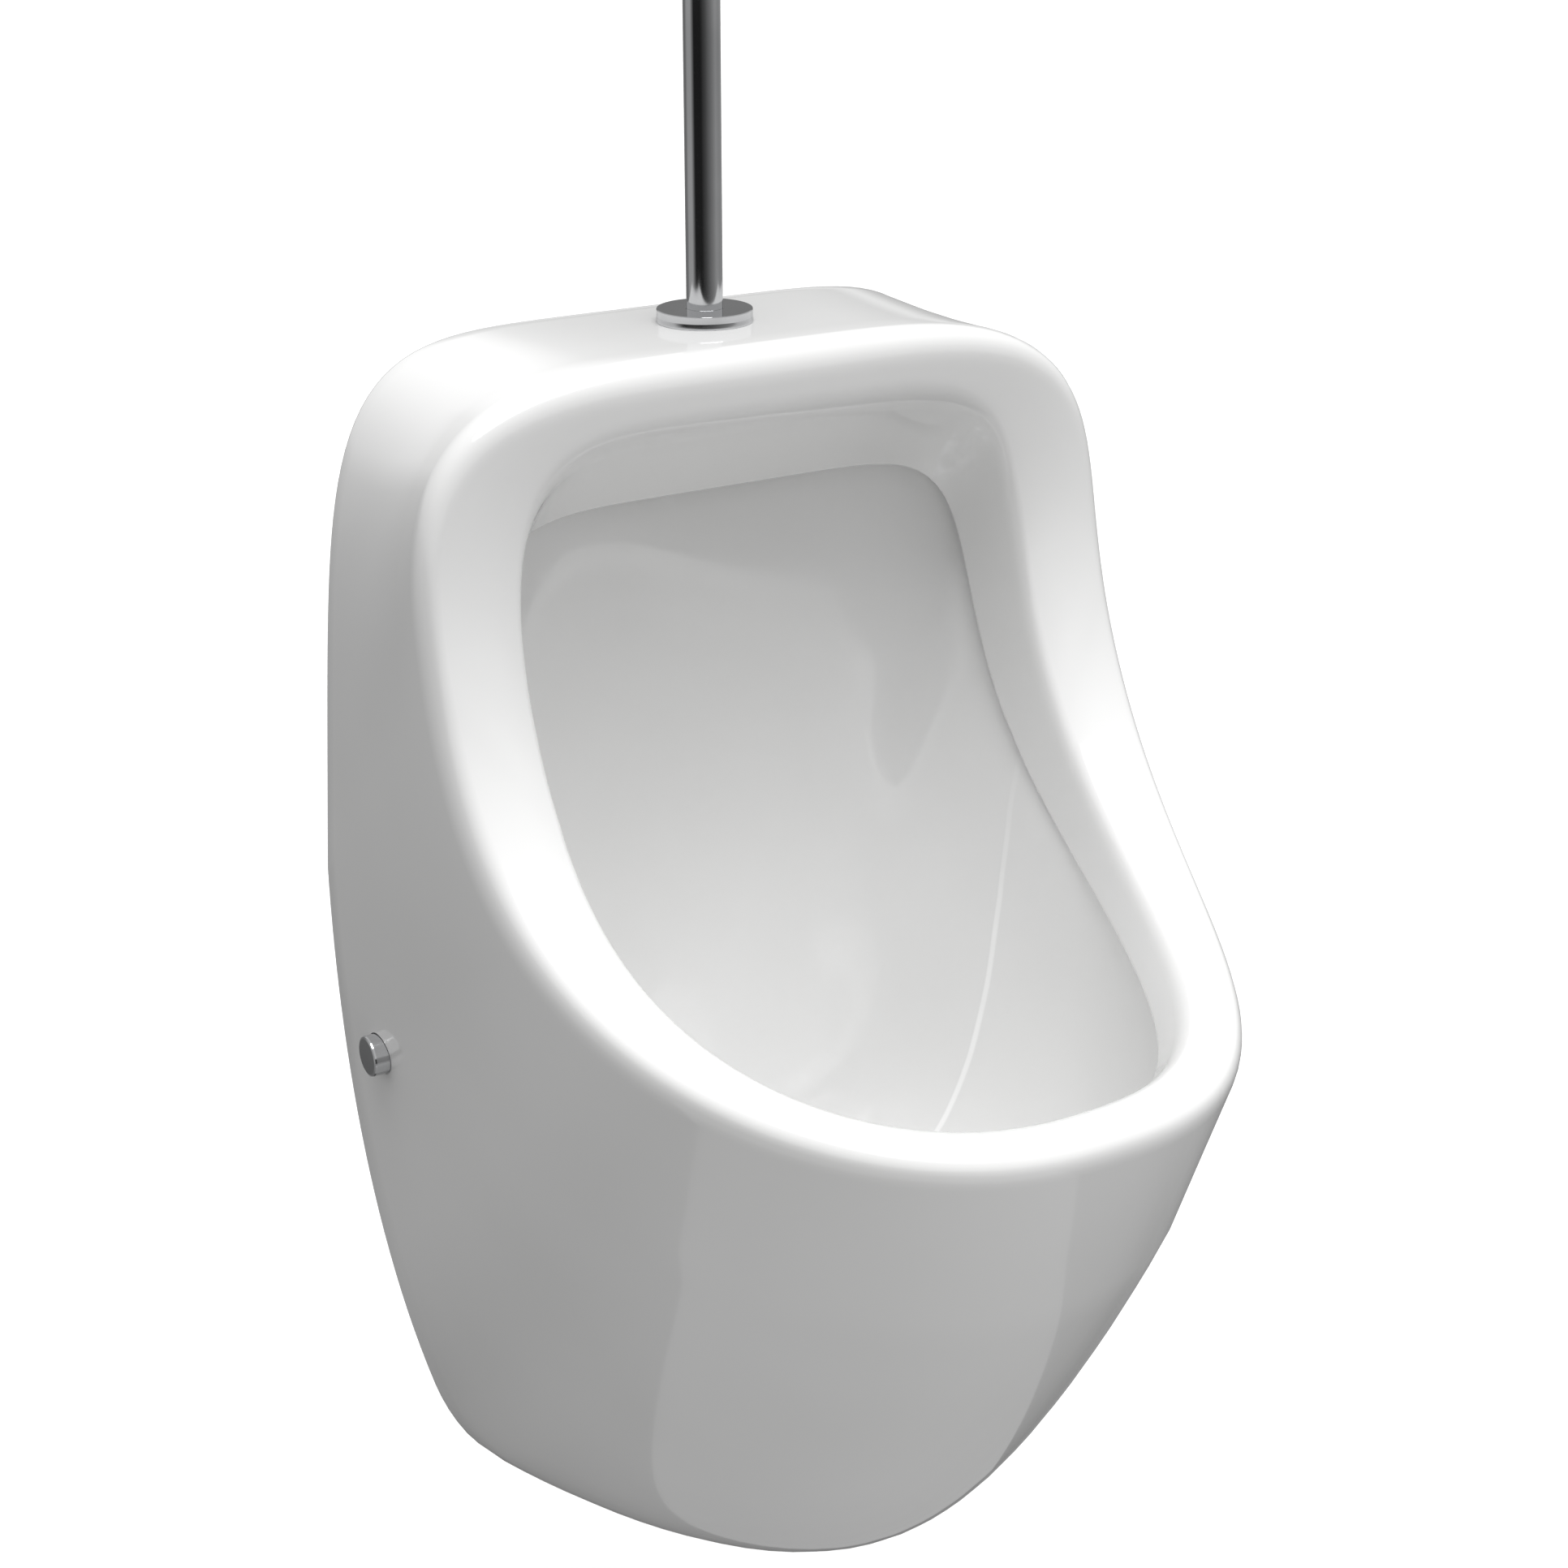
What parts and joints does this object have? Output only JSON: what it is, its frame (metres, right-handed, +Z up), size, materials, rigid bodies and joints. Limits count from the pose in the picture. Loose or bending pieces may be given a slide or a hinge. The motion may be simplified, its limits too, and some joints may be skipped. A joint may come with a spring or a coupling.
{
  "type": "wall hung urinal",
  "caption": "Wall hung ceramic bowl urinal with flush rim, chrome flush pipe and rosette, outlet strainer, bottle trap and wall fixings",
  "frame": {"origin": "on the wall's face, on the centre line, midway between the four screws of the two side brackets", "axes": "+Y into the wall, +Z up, +X to the right as seen from the front"},
  "size_m": [0.394, 0.4438, 0.8007],
  "materials": {
    "white_glaze": "gloss",
    "chrome": "polished",
    "steel": "brushed",
    "brass": "satin",
    "rubber": "matte",
    "grey_plastic": "matte",
    "white_plastic": "satin"
  },
  "bodies": {
    "body": {"ceramic_body": "white_glaze", "flush_pipe": "chrome", "union_nut": "chrome", "union_ring": "rubber", "inlet_seal": "rubber", "inlet_spreader": "grey_plastic", "outlet_seal": "rubber", "waste_body": "chrome", "waste_gasket": "rubber", "waste_nut": "brass", "trap_inlet_nut": "white_plastic", "trap_inlet_washer": "rubber", "trap_body": "white_plastic", "trap_cup_seal": "rubber", "outlet_nut": "white_plastic", "outlet_washer": "rubber", "outlet_pipe": "white_plastic", "outlet_wall_plate": "white_plastic", "outlet_connector": "rubber", "clamp_bracket_left": "steel", "clamp_bracket_right": "steel", "hanger_left": "steel", "hanger_right": "steel", "hanger_pads": "grey_plastic", "bracket_screws": "steel", "bracket_washers": "steel", "hanger_screws": "steel", "hanger_washers": "steel", "lug_nuts": "steel", "clamp_screw_left": "steel", "clamp_screw_right": "steel", "clamp_sleeve_left": "grey_plastic", "clamp_sleeve_right": "grey_plastic"},
    "rosette": {"pipe_rosette": "chrome"},
    "strainer": {"strainer": "steel"},
    "trap_cup": {"trap_cup": "white_plastic"},
    "cap_left": {"cover_cap_left": "chrome"},
    "cap_right": {"cover_cap_right": "chrome"}
  },
  "joints": [
    {"name": "rosette_slide", "type": "slide", "parent": "body", "child": "rosette", "axis": [0, 0, 1], "range_m": [0, 0.1]},
    {"name": "strainer_lift", "type": "slide", "parent": "body", "child": "strainer", "axis": [0, 0, 1], "range_m": [0, 0.06]},
    {"name": "trap_cup_drop", "type": "slide", "parent": "body", "child": "trap_cup", "axis": [0, 0, -1], "range_m": [0, 0.04]},
    {"name": "cap_left_pull", "type": "slide", "parent": "body", "child": "cap_left", "axis": [-1, 0, 0], "range_m": [0, 0.015]},
    {"name": "cap_right_pull", "type": "slide", "parent": "body", "child": "cap_right", "axis": [1, 0, 0], "range_m": [0, 0.015]}
  ]
}
